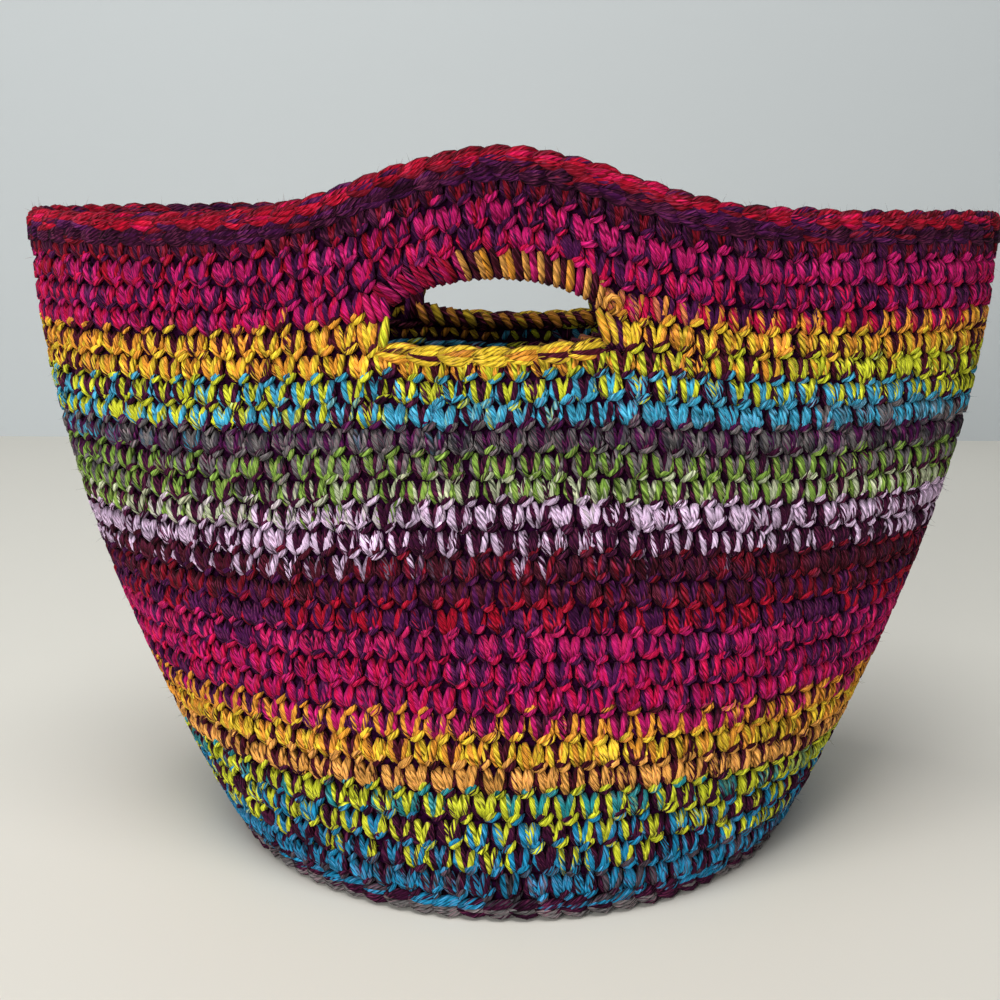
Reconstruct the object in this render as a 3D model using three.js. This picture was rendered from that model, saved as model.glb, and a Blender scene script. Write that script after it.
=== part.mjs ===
// A crocheted tote bag: one continuous piece of yarn worked in rounds, from a round flat base up to
// a wide, flattened mouth, with a hand hole left in the front wall and another in the back wall.
// Millimetres, +Z up. The origin is under the middle of the base, X runs along the wide mouth and
// the front wall faces -Y. The back wall is like the front one, with its hole in a place of its own.
import * as THREE from 'three';

// Base and mouth
const BASE_HALF_WIDTH = 124;
const BASE_HALF_DEPTH = 130;
const BASE_THICKNESS = 8;
const MOUTH_HALF_WIDTH = 205;
const MOUTH_HALF_DEPTH = 75;

// Rounds of stitches, each a ridge around the wall
const ROUNDS_BELOW_HOLE = 21;
const ROUNDS_ABOVE_HOLE = 4;
const ROUND_HEIGHT = 9.65;
const RIDGE_DEPTH = 1.6;
const WALL_THICKNESS = 7;

// Rounded foot between the flat underside and the first round
const FOOT_WIDTH = 9;
const FOOT_HEIGHT = 3;

// Edging chain along the rim
const RIM_HEIGHT = 5;
const RIM_BULGE = 1;

// Hand holes, how far along the round each is set off from the middle of its wall, and the handles
// that arch over them
const HOLE_WIDTH = 86;
const HOLE_HEIGHT = 30;
const FRONT_HOLE_OFFSET = -9;
const BACK_HOLE_OFFSET = 2;
const HOLE_SAG = 4;
const HANDLE_RISE = 16;
const HANDLE_REACH = 100;

// How the soft wall settles: its sides hang lower, and the rounds lean with the spiral
const END_DROOP = 8.5;
const SPIRAL_LEAN = 1;

// Facets around the bag: those in each hole, and those in each stretch between the holes
const HOLE_FACETS = 8;
const SIDE_FACETS = 28;

// Shares that shape the curves
const WIDTH_FLARE_POWER = 0.87;
const DEPTH_FLARE_POWER = 1.35;
const DROOP_POWER = 12;
const HOLE_END_SHARE = 0.8;
const RIM_CORNER_SHARE = 0.65;
const INNER_STEPS_BELOW_HOLE = 6;

const RIM_ROUND = ROUNDS_BELOW_HOLE + ROUNDS_ABOVE_HOLE + 2;
const HOLE_BOTTOM_ROUND = ROUNDS_BELOW_HOLE + 0.5;
const HOLE_MIDDLE_ROUND = ROUNDS_BELOW_HOLE + 1;
const HOLE_TOP_ROUND = ROUNDS_BELOW_HOLE + 1.5;

// Half size of a round on the way from the base to the mouth
function flare(round, base, mouth, power) {
  return base + (mouth - base) * Math.sin((Math.PI / 2) * (round / RIM_ROUND)) ** power;
}

// Oval that a round follows, set in from the crests of the wall; it starts at the front middle,
// runs towards +X, and its points are read at equal lengths of yarn
function roundPath(round, inset) {
  const width = flare(round, BASE_HALF_WIDTH, MOUTH_HALF_WIDTH, WIDTH_FLARE_POWER) - inset;
  const depth = flare(round, BASE_HALF_DEPTH, MOUTH_HALF_DEPTH, DEPTH_FLARE_POWER) - inset;
  return new THREE.EllipseCurve(0, 0, width, depth, -Math.PI / 2, 1.5 * Math.PI);
}

// Place of a facet line across a hole, from -1 to 1, closer together towards its round ends
function holePlace(i) {
  return -Math.cos((Math.PI * i) / HOLE_FACETS);
}

// Places of the facets as shares of a full turn: front hole, side, back hole, side
function facetTurns() {
  const length = roundPath(HOLE_MIDDLE_ROUND, 0).getLength();
  const holeTurn = HOLE_WIDTH / length;
  const front = FRONT_HOLE_OFFSET / length - holeTurn / 2;
  const back = 0.5 + BACK_HOLE_OFFSET / length - holeTurn / 2;
  const turns = [];
  for (const [start, next] of [[front, back], [back, front + 1]]) {
    const sideTurn = next - start - holeTurn;
    for (let i = 0; i < HOLE_FACETS; i += 1) {
      turns.push(start + (holeTurn * (1 + holePlace(i))) / 2);
    }
    for (let i = 0; i < SIDE_FACETS; i += 1) {
      turns.push(start + holeTurn + (sideTurn * i) / SIDE_FACETS);
    }
  }
  return turns;
}

const turns = facetTurns();
const facetsPerHalf = HOLE_FACETS + SIDE_FACETS;

// The same place for a facet line of the whole bag, or null beside the holes
function placeInHole(column) {
  const fromStart = column % facetsPerHalf;
  return fromStart <= HOLE_FACETS ? holePlace(fromStart) : null;
}

// Height of a round before the hole is opened: level in the middle of the front and the back, less
// the droop on both sides of it, with the lean of the spiral and the arch of the handle over its hole
function settledHeight(round, across, along, x) {
  const share = round / RIM_ROUND;
  const droop = END_DROOP * share * (1 - Math.abs(along) ** DROOP_POWER);
  const lean = SPIRAL_LEAN * share * 2 * across * along;
  const holeMiddle = along < 0 ? FRONT_HOLE_OFFSET : -BACK_HOLE_OFFSET;
  const fromHole = Math.min(Math.abs(x - holeMiddle), HANDLE_REACH);
  const arch = Math.cos((Math.PI / 2) * (fromHole / HANDLE_REACH)) ** 2;
  const above = Math.max(0, (round - HOLE_BOTTOM_ROUND) / (RIM_ROUND - HOLE_BOTTOM_ROUND));
  return FOOT_HEIGHT + round * ROUND_HEIGHT - droop - lean + HANDLE_RISE * arch * above;
}

// Height of a round on a facet line: around a hole the rounds below sag and those above spread up
function roundHeight(round, column, point, path) {
  const across = point.x / path.xRadius;
  const along = point.y / path.yRadius;
  const settled = (level) => settledHeight(level, across, along, point.x);
  const place = placeInHole(column);
  if (place === null) {
    return settled(round);
  }
  const sag = HOLE_SAG * (1 - place ** 2);
  if (round <= HOLE_BOTTOM_ROUND) {
    return settled(round) - sag * (round / HOLE_BOTTOM_ROUND) ** 4;
  }
  const lowerEdge = settled(HOLE_BOTTOM_ROUND) - sag;
  const upperEdge = lowerEdge + HOLE_HEIGHT * Math.sqrt(1 - HOLE_END_SHARE * place ** 2);
  if (round < HOLE_TOP_ROUND) {
    return (lowerEdge + upperEdge) / 2;
  }
  const above = (round - HOLE_TOP_ROUND) / (RIM_ROUND - HOLE_TOP_ROUND);
  return upperEdge + above * (settled(RIM_ROUND) - upperEdge);
}

// One closed ring of points on the wall, raised over the round's own height
function wallRing(round, inset, raised = 0) {
  const path = roundPath(round, inset);
  return turns.map((turn, column) => {
    const point = path.getPointAt((turn + 1) % 1);
    return new THREE.Vector3(point.x, point.y, roundHeight(round, column, point, path) + raised);
  });
}

// One level ring of points for the base
function baseRing(inset, height) {
  const path = roundPath(0, inset);
  return turns.map((turn) => {
    const point = path.getPointAt((turn + 1) % 1);
    return new THREE.Vector3(point.x, point.y, height);
  });
}

// Rings from the underside up the outer face, over the rim and down the inner face, and which of
// them bound the holes on each face. A round is a crest between two valleys, and the lower and the
// upper edge of a hole are valleys.
function bagRings() {
  const rings = [baseRing(FOOT_WIDTH, 0)];
  const outer = {};
  const inner = {};
  const stepsBelow = 2 * Math.round(ROUNDS_BELOW_HOLE) + 1;
  for (let step = 0; step <= stepsBelow; step += 1) {
    const valley = step % 2 === 1;
    outer.bottom = rings.length;
    rings.push(wallRing(HOLE_BOTTOM_ROUND * (step / stepsBelow), valley ? RIDGE_DEPTH : 0));
  }
  outer.middle = rings.length;
  rings.push(wallRing(HOLE_MIDDLE_ROUND, 0));
  outer.top = rings.length;
  const stepsAbove = 2 * Math.round(ROUNDS_ABOVE_HOLE) + 1;
  for (let step = 0; step < stepsAbove; step += 1) {
    const valley = step % 2 === 0;
    const round = HOLE_TOP_ROUND + (RIM_ROUND - HOLE_TOP_ROUND) * (step / stepsAbove);
    rings.push(wallRing(round, valley ? RIDGE_DEPTH : 0));
  }
  const corner = (1 - RIM_CORNER_SHARE) * (WALL_THICKNESS / 2);
  rings.push(wallRing(RIM_ROUND, -RIM_BULGE));
  rings.push(wallRing(RIM_ROUND, corner, RIM_HEIGHT * RIM_CORNER_SHARE));
  rings.push(wallRing(RIM_ROUND, WALL_THICKNESS / 2, RIM_HEIGHT));
  rings.push(wallRing(RIM_ROUND, WALL_THICKNESS - corner, RIM_HEIGHT * RIM_CORNER_SHARE));
  rings.push(wallRing(RIM_ROUND, WALL_THICKNESS));
  rings.push(wallRing((RIM_ROUND + HOLE_TOP_ROUND) / 2, WALL_THICKNESS));
  inner.top = rings.length;
  rings.push(wallRing(HOLE_TOP_ROUND, WALL_THICKNESS));
  inner.middle = rings.length;
  rings.push(wallRing(HOLE_MIDDLE_ROUND, WALL_THICKNESS));
  inner.bottom = rings.length;
  for (let step = 0; step < INNER_STEPS_BELOW_HOLE; step += 1) {
    rings.push(wallRing(HOLE_BOTTOM_ROUND * (1 - step / INNER_STEPS_BELOW_HOLE), WALL_THICKNESS));
  }
  rings.push(baseRing(WALL_THICKNESS + FOOT_WIDTH, BASE_THICKNESS));
  return { rings, outer, inner };
}

// Closed skin of the bag as loose triangles
function bagGeometry() {
  const { rings, outer, inner } = bagRings();
  const columns = turns.length;
  const corners = [];
  const triangle = (a, b, c) => corners.push(a, b, c);
  const quad = (a, b, c, d) => {
    triangle(a, b, c);
    triangle(a, c, d);
  };
  const at = (ring, column) => rings[ring][column % columns];
  const holeColumn = (column) => column % facetsPerHalf < HOLE_FACETS;
  const holeRings = new Set([outer.bottom, outer.middle, inner.top, inner.middle]);
  const underside = new THREE.Vector3(0, 0, 0);
  const floor = new THREE.Vector3(0, 0, BASE_THICKNESS);
  const last = rings.length - 1;

  for (let column = 0; column < columns; column += 1) {
    const next = column + 1;
    triangle(underside, at(0, next), at(0, column));
    for (let ring = 0; ring < last; ring += 1) {
      if (!(holeColumn(column) && holeRings.has(ring))) {
        quad(at(ring, column), at(ring, next), at(ring + 1, next), at(ring + 1, column));
      }
    }
    triangle(at(last, column), at(last, next), floor);
  }

  // Edges of the holes, from the outer face through the wall to the inner face
  const edge = (level, column) => [at(outer[level], column), at(inner[level], column)];
  const strip = (from, to) => quad(from[0], to[0], to[1], from[1]);
  for (const start of [0, facetsPerHalf]) {
    const end = start + HOLE_FACETS;
    for (let column = start; column < end; column += 1) {
      strip(edge('bottom', column), edge('bottom', column + 1));
      strip(edge('top', column + 1), edge('top', column));
    }
    strip(edge('middle', start), edge('bottom', start));
    strip(edge('top', start), edge('middle', start));
    strip(edge('bottom', end), edge('middle', end));
    strip(edge('middle', end), edge('top', end));
  }
  const geometry = new THREE.BufferGeometry().setFromPoints(corners);
  geometry.computeVertexNormals();
  return geometry;
}

const yarn = new THREE.MeshStandardMaterial({ color: 0x8f2a55, roughness: 0.9, metalness: 0 });

const bag = new THREE.Mesh(bagGeometry(), yarn);
bag.name = 'crochet_bag';

const group = new THREE.Group();
group.add(bag);

export default group;
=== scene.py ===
"""A crocheted tote bag: its stitches, edging chains and handle wraps, strand by strand.

The bag is worked in rounds from three strands of yarn held together. Every strand that shows is a
closed tube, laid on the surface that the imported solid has. A place on that surface is a turn (0 at
the front middle, growing towards +X, 1 all the way round) and a level (the round of stitches, 0 at
the edge of the base, RIM_ROUND at the rim, below 0 on the base).
"""
import math

import bpy
import numpy as np
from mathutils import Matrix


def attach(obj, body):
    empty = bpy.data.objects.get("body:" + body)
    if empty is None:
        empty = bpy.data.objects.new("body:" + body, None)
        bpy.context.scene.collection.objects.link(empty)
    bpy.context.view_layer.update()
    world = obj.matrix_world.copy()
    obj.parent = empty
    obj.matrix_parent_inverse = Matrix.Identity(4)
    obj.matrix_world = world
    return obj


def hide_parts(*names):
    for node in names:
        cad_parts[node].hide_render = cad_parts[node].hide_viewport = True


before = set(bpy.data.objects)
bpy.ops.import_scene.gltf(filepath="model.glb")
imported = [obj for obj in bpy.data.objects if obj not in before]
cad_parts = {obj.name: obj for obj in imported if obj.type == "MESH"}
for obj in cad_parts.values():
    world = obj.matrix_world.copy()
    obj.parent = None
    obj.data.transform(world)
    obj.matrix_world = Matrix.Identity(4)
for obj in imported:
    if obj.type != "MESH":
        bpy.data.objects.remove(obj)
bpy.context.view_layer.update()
chance = np.random.default_rng(20)

# Sizes of the bag, in metres
MM = 0.001
BASE_HALF_WIDTH = 124 * MM
BASE_HALF_DEPTH = 130 * MM
BASE_THICKNESS = 8 * MM
MOUTH_HALF_WIDTH = 205 * MM
MOUTH_HALF_DEPTH = 75 * MM
ROUNDS_BELOW_HOLE = 21
ROUNDS_ABOVE_HOLE = 4
ROUND_HEIGHT = 9.65 * MM
WALL_THICKNESS = 7 * MM
FOOT_WIDTH = 9 * MM
FOOT_HEIGHT = 3 * MM
HOLE_WIDTH = 86 * MM
HOLE_HEIGHT = 30 * MM
FRONT_HOLE_OFFSET = -9 * MM
BACK_HOLE_OFFSET = 2 * MM
HOLE_SAG = 4 * MM
HANDLE_RISE = 16 * MM
HANDLE_REACH = 100 * MM
END_DROOP = 8.5 * MM
SPIRAL_LEAN = 1 * MM
WIDTH_FLARE_POWER = 0.87
DEPTH_FLARE_POWER = 1.35
DROOP_POWER = 12
SAG_POWER = 4
HOLE_END_SHARE = 0.8
RIM_ROUND = ROUNDS_BELOW_HOLE + ROUNDS_ABOVE_HOLE + 2
HOLE_BOTTOM = ROUNDS_BELOW_HOLE + 0.5
HOLE_MIDDLE = ROUNDS_BELOW_HOLE + 1
HOLE_TOP = ROUNDS_BELOW_HOLE + 1.5
HOLE_FADE = 0.35
BASE_ROUNDS = 13

# Sizes of the stitches and the yarn, and how far one differs from the next
STITCH_PITCH = 10 * MM
STITCH_SHIFT = 0.36
STITCH_SWAY = 0.045
FEWEST_STITCHES = 6
HOLE_CLEARANCE = 0.4
STRAND = 1.36 * MM
STRAND_GAP = 1.6 * MM
INNER_STRAND = 2.0 * MM
GIRTH_SPREAD = 0.06
DEPTH_SWAY = 0.15 * MM
FLOOR_GAP = 0.9 * MM

# How the dyes vary along the yarn, and how the strands lie in a stitch
DYE_BLEND = 0.08
DYE_SPREAD = 0.03
DEEPER_OR_PALER = 0.12
PLY_SPREAD = 0.07
PLY_MIX = 0.18
ONE_DYE = 0.5
SAME_ORDER = 0.72
ORDER_RUN = 7
ORDER_SLIP = 0.14
DARK_BESIDE = 0.42
BEHIND_SHARE = 0.36

# Painted shade, as a share of the full dye: at the ends and sides of the strands, where yarn
# lies against yarn, on the inner side of the bag, and on the rope inside each hand hole
END_SHADE = 0.26
SIDE_SHADE = 0.42
INNER_SHADE = 0.5
ROPE_SHADE = 0.4


# Surface of the bag

UPWARDS = np.array([0.0, 0.0, 1.0])


def unit(ways):
    """The same directions, with a length of 1."""
    return ways / np.linalg.norm(ways, axis=-1, keepdims=True)


def half_axes(level):
    """Half width and half depth of the oval at a level. Each goes from its size at the base to its
    size at the mouth by a quarter sine wave, to a power."""
    grown = np.sin(np.pi / 2 * np.clip(level / RIM_ROUND, 0, 1))
    half_width = BASE_HALF_WIDTH + (MOUTH_HALF_WIDTH - BASE_HALF_WIDTH) * grown ** WIDTH_FLARE_POWER
    half_depth = BASE_HALF_DEPTH + (MOUTH_HALF_DEPTH - BASE_HALF_DEPTH) * grown ** DEPTH_FLARE_POWER
    return half_width, half_depth


def measure_ovals(rows=55, columns=361):
    """Angle round each oval at even shares of its length, and that length. The length is the sum
    of small steps of the angle, and the angle is read back from it."""
    angle = np.linspace(0, 2 * np.pi, 4 * columns)
    half_width, half_depth = half_axes(np.linspace(0, RIM_ROUND, rows))
    speed = np.hypot(half_width[:, None] * np.cos(angle), half_depth[:, None] * np.sin(angle))
    run = np.cumsum((speed[:, 1:] + speed[:, :-1]) / 2 * angle[1], axis=1)
    run = np.hstack([np.zeros((rows, 1)), run])
    share = np.linspace(0, 1, columns)
    table = np.array([np.interp(share, row / row[-1], angle) for row in run])
    return table, run[:, -1]


OVAL_ANGLES, OVAL_LENGTHS = measure_ovals()


def round_length(level):
    """Length of the oval at a level. For the rounds of the base it is that of the base's edge."""
    rows = np.linspace(0, RIM_ROUND, len(OVAL_LENGTHS))
    return np.interp(np.clip(level, 0, RIM_ROUND), rows, OVAL_LENGTHS)


def angle_at(turn, level):
    """Angle round the oval at a turn and level, between the four nearest entries of the table."""
    rows, columns = OVAL_ANGLES.shape
    row = np.clip(level, 0, RIM_ROUND) / RIM_ROUND * (rows - 1)
    column = (turn % 1.0) * (columns - 1)
    low_row = np.minimum(row.astype(int), rows - 2)
    low_column = np.minimum(column.astype(int), columns - 2)
    up = row - low_row
    along = column - low_column
    low, high = [OVAL_ANGLES[near_row, low_column] * (1 - along)
                 + OVAL_ANGLES[near_row, low_column + 1] * along for near_row in (low_row, low_row + 1)]
    return low * (1 - up) + high * up


HOLE_TURN = HOLE_WIDTH / round_length(HOLE_MIDDLE)
FRONT_HOLE = FRONT_HOLE_OFFSET / round_length(HOLE_MIDDLE)
BACK_HOLE = 0.5 + BACK_HOLE_OFFSET / round_length(HOLE_MIDDLE)


def place_in_hole(turn):
    """Place across the nearer hand hole, from -1 at one end to 1 at the other."""
    from_front = (turn - FRONT_HOLE + 0.5) % 1 - 0.5
    from_back = (turn - BACK_HOLE + 0.5) % 1 - 0.5
    nearer = np.where(np.abs(from_front) < np.abs(from_back), from_front, from_back)
    return nearer / (HOLE_TURN / 2)


def settled_height(level, across, along, x):
    """Height of a level before the hole is opened: even rounds, less the droop on both sides of the
    front and back middle, with the lean of the spiral and the arch of the handle over its hole."""
    share = level / RIM_ROUND
    hole_middle = np.where(along < 0, FRONT_HOLE_OFFSET, -BACK_HOLE_OFFSET)
    from_hole = np.minimum(np.abs(x - hole_middle), HANDLE_REACH)
    arch = np.cos(np.pi / 2 * from_hole / HANDLE_REACH) ** 2
    above = np.clip((level - HOLE_BOTTOM) / (RIM_ROUND - HOLE_BOTTOM), 0, None)
    droop = END_DROOP * share * (1 - np.abs(along) ** DROOP_POWER)
    lean = SPIRAL_LEAN * share * 2 * across * along
    return FOOT_HEIGHT + level * ROUND_HEIGHT - droop - lean + HANDLE_RISE * arch * above


def wall_height(turn, level, across, along, x):
    """Height of the wall: below a hole the rounds sag, and above it they spread up to the rim."""
    place = place_in_hole(turn)
    sag = HOLE_SAG * np.clip(1 - place ** 2, 0, None)
    settled = settled_height(level, across, along, x)
    settled_top = settled_height(HOLE_TOP, across, along, x)
    below = settled - sag * np.clip(level / HOLE_BOTTOM, 0, 1) ** SAG_POWER
    lower = settled_height(HOLE_BOTTOM, across, along, x) - sag
    gap = HOLE_HEIGHT * np.sqrt(1 - HOLE_END_SHARE * np.clip(place ** 2, 0, 1))
    fade = np.clip(1 - (np.abs(place) - 1) / HOLE_FADE, 0, 1)
    fade = fade * fade * (3 - 2 * fade)
    lift = (lower + gap - settled_top) * fade
    upper = settled_top + lift
    left = np.clip((RIM_ROUND - level) / (RIM_ROUND - HOLE_TOP), 0, 1)
    above = settled + lift * left
    between = np.clip((level - HOLE_BOTTOM) / (HOLE_TOP - HOLE_BOTTOM), 0, 1)
    middle = lower * (1 - between) + upper * between
    return np.where(level <= HOLE_BOTTOM, below, np.where(level < HOLE_TOP, middle, above))


def bag_skin(turn, level, out=0.0, raised=0.0):
    """Point at a turn and level, set out from the surface and raised. The wall follows the ovals,
    the foot is a quarter round, and the base is a flat disc with its outer side down."""
    turn, level, out, raised = np.broadcast_arrays(
        *(np.asarray(v, dtype=float) for v in (turn, level, out, raised)))
    angle = angle_at(turn, level)
    across = np.sin(angle)
    along = -np.cos(angle)
    half_width, half_depth = half_axes(level)
    side_x = half_depth * across
    side_y = half_width * along
    size = np.hypot(side_x, side_y)
    bend = np.clip(-level, 0, 1) * np.pi / 2
    inward = np.clip(-level - 1, 0, None) / BASE_ROUNDS
    foot = FOOT_WIDTH * (1 - np.cos(bend))
    sideways = out * np.cos(bend)
    x = (half_width - foot) * (1 - inward) * across + sideways * side_x / size
    y = (half_depth - foot) * (1 - inward) * along + sideways * side_y / size
    wall = wall_height(turn, np.clip(level, 0, None), across, along, x)
    base = FOOT_HEIGHT * (1 - np.sin(bend)) - out * np.sin(bend)
    z = np.where(level < 0, base, wall) + raised
    return np.stack([x, y, z], axis=-1)


def skin_facing(turn, level):
    """Direction out of the surface: across the two directions along it."""
    turn_step = 0.0025
    level_step = 0.02
    round_way = bag_skin(turn + turn_step, level) - bag_skin(turn - turn_step, level)
    up_way = bag_skin(turn, level + level_step) - bag_skin(turn, level - level_step)
    return unit(np.cross(round_way, up_way))


# Colours of the yarn

def dye(hex_colour):
    """Linear red, green and blue of a written colour."""
    parts = np.array([int(hex_colour[i:i + 2], 16) for i in (0, 2, 4)]) / 255
    return np.where(parts <= 0.04045, parts / 12.92, ((parts + 0.055) / 1.055) ** 2.4)


BLUE = dye("1F8CBA")
TEAL = dye("2A949C")
GREY = dye("716D6E")
SLATE = dye("4C4850")
SKY = dye("43AED4")
LIME = dye("D6DC34")
PEACH = dye("F4AE55")
YELLOW = dye("F7D038")
ORANGE = dye("F3A437")
MAGENTA = dye("C01A68")
PINK = dye("CC2262")
CRIMSON = dye("AC0E2A")
ROSE = dye("C81049")
DARK_RED = dye("7E1022")
PURPLE = dye("471345")
PLUM = dye("380F2C")
MAROON = dye("461220")
LILAC = dye("E2C6E6")
PALE_GREEN = dye("C2CCA6")
GREEN = dye("80A545")

# Each strand's colours, by the round at which each begins at the front middle. The base goes on
# backwards through the same colours.
FIRST_STRAND = [
    (-20, MAGENTA), (-10.5, CRIMSON), (-8.4, PLUM), (-7.2, LILAC), (-5.6, GREEN), (-3.4, GREY),
    (-1.6, BLUE), (3.4, LIME), (4.3, PEACH), (5.6, YELLOW), (6.5, ORANGE), (7.35, MAGENTA),
    (10.6, CRIMSON), (11.3, DARK_RED), (13.1, PLUM), (14.1, LILAC), (15.1, GREEN),
    (17.3, GREY), (18.85, SKY), (20.7, LIME), (21.0, YELLOW), (22.75, ROSE), (24.7, MAGENTA),
    (25.05, CRIMSON), (25.6, DARK_RED)]
SECOND_STRAND = [
    (-20, ORANGE), (-12, MAGENTA), (-9.4, CRIMSON), (-7.6, PURPLE), (-6.3, LILAC), (-4.6, PALE_GREEN),
    (-2.6, GREEN), (-1.2, SLATE), (1.06, BLUE), (1.3, LIME), (3.85, TEAL), (4.4, PEACH),
    (5.5, ORANGE), (6.8, MAGENTA), (7.5, ROSE), (9.6, PINK), (10.5, CRIMSON),
    (11.1, PURPLE), (12.5, PLUM), (13.1, LILAC), (15.1, PALE_GREEN), (16.1, GREY), (17.2, SLATE),
    (18.2, SKY), (19.05, LIME), (20.87, ORANGE), (22.97, MAGENTA), (25.3, PURPLE), (25.7, PLUM)]
THIRD_STRAND = [
    (-20, PLUM), (4.3, MAROON), (7.0, PURPLE), (11.5, MAROON), (13.2, PLUM), (17.2, PURPLE),
    (18.4, PLUM), (20.6, MAROON), (22.6, PURPLE), (26, PLUM)]

# Rounds in which one strand lies behind here and there: the round, that strand, and the one that
# shows instead
BEHIND = (
    (1, 1, 0), (2, 1, 2), (3, 0, 2), (4, 1, 0), (6, 2, 0), (10, 1, 2),
    (11, 0, 2), (11, 1, 2), (12, 0, 2), (13, 0, 2), (19, 2, 0), (24, 1, 2))


def strand_dye(sequence, position):
    """Colour of a strand at a position, held between its changes and blended over each of them."""
    starts = np.array([start for start, colour in sequence])
    colours = np.array([colour for start, colour in sequence])
    knots = np.stack([starts[1:] - DYE_BLEND / 2, starts[1:] + DYE_BLEND / 2], axis=1).ravel()
    held = np.repeat(colours, 2, axis=0)[1:-1]
    return np.stack([np.interp(position, knots, held[:, i]) for i in range(3)], axis=-1)


def strand_order(count):
    """Order of the three strands across each stitch. It is kept over a run of stitches, apart from
    small slips, and the dark third strand mostly lies on one side or the other."""
    runs = math.ceil(count / ORDER_RUN)
    held = np.repeat(chance.random((runs, 3)), ORDER_RUN, axis=0)[:count]
    key = held + chance.normal(0, ORDER_SLIP, (count, 3))
    between = (key[:, 0] + key[:, 1]) / 2
    key[:, 2] = np.where(key[:, 2] < DARK_BESIDE, -1, np.where(key[:, 2] > 1 - DARK_BESIDE, 2, between))
    return np.argsort(key, axis=1)


def yarn_dyes(position, round_number=None):
    """The three strands' colours at each position, each a little off in place and in depth of
    colour, in the order in which they lie. Each strand has two dyes: its own, and that of some of
    its plies, which is the one it has a little before or after, or another strand's. In a few
    rounds one of the strands lies behind here and there, and another shows instead. Sizes:
    (positions, 3 strands, 2 dyes, 3)."""
    count = len(position)
    place = position[:, None] + chance.normal(0, DYE_SPREAD, (count, 3))
    place = np.stack([place, place + chance.normal(0, PLY_SPREAD, (count, 3))], axis=-1)
    strands = (FIRST_STRAND, SECOND_STRAND, THIRD_STRAND)
    colours = np.stack([strand_dye(strand, place[:, i]) for i, strand in enumerate(strands)], axis=1)
    colours *= np.exp(chance.normal(0, DEEPER_OR_PALER, (count, 3, 2)))[..., None]
    for behind_round, hidden, shown in BEHIND:
        swapped = (round_number == behind_round) & (chance.random(count) < BEHIND_SHARE)
        colours[swapped, hidden] = colours[swapped, shown]
    borrowed = chance.random((count, 3, 1)) < PLY_MIX
    colours[:, :, 1] = np.where(borrowed, np.roll(colours[:, :, 0], 1, axis=1), colours[:, :, 1])
    order = strand_order(count)
    return np.take_along_axis(colours, order[..., None, None], axis=1)


def mixed_dyes(count, mix, strands=4):
    """Chance colours out of a mix of dyes and their shares, in the same form, each a little deeper
    or paler. About half of the strands are of one dye."""
    colours = np.array([colour for colour, share in mix])
    shares = [share for colour, share in mix]
    pick = chance.choice(len(mix), size=(count, strands, 2), p=shares)
    one_dye = chance.random((count, strands)) < ONE_DYE
    pick[..., 1] = np.where(one_dye, pick[..., 0], pick[..., 1])
    depth = np.exp(chance.normal(0, DEEPER_OR_PALER, (count, strands, 2)))
    return colours[pick] * depth[..., None]


# Strands as closed tubes

# Corners of a strand's section, as angles from its side towards its front: one with a flat back
# for strands that lie on the wall, one that is even all round, and one for hairs
FLAT_BACK = np.radians([-20, 52, 128, 200])
ALL_ROUND = np.radians([0, 60, 120, 180, 240, 300])
THREE_SIDED = np.radians([90, 210, 330])

# How far apart the twists of two strands in a row begin, in girths, and where that starts again
TWIST_OFFSET = 7.31
TWIST_REPEAT = 97

# Edge that is left free around each cell of the map, as a share of the cell
CELL_EDGE = 0.04


def strand_faces(rings, section):
    """Faces of one closed strand: a fan at each end and bands of four-cornered faces between its
    rings. Gives each corner's vertex, each face's corner count, and each corner's ring and share of
    the way round."""
    sides = len(section)
    ring = 1 + np.arange(rings)[:, None] * sides + np.arange(sides)
    after = np.roll(ring, -1, axis=1)
    pole = np.zeros(sides, dtype=int)
    tip = pole + 1 + rings * sides
    first = np.stack([pole, after[0], ring[0]], axis=1)
    bands = np.stack([ring[:-1], after[:-1], after[1:], ring[1:]], axis=-1).reshape(-1, 4)
    last = np.stack([ring[-1], after[-1], tip], axis=1)
    corners = np.concatenate([first.ravel(), bands.ravel(), last.ravel()])
    counts = np.concatenate([np.full(sides, 3), np.full(len(bands), 4), np.full(sides, 3)])
    ring_of = (corners + sides - 1) // sides
    here = (section - section[0]) / (2 * np.pi)
    there = np.append(here[1:], 1.0)
    middle = (here + there) / 2
    turn_band = np.broadcast_to(np.stack([here, there, there, here], axis=1), (rings - 1, sides, 4))
    around = np.concatenate([np.stack([middle, there, here], axis=1).ravel(), turn_band.ravel(),
                             np.stack([here, there, middle], axis=1).ravel()])
    return corners, counts, ring_of, around


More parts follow.
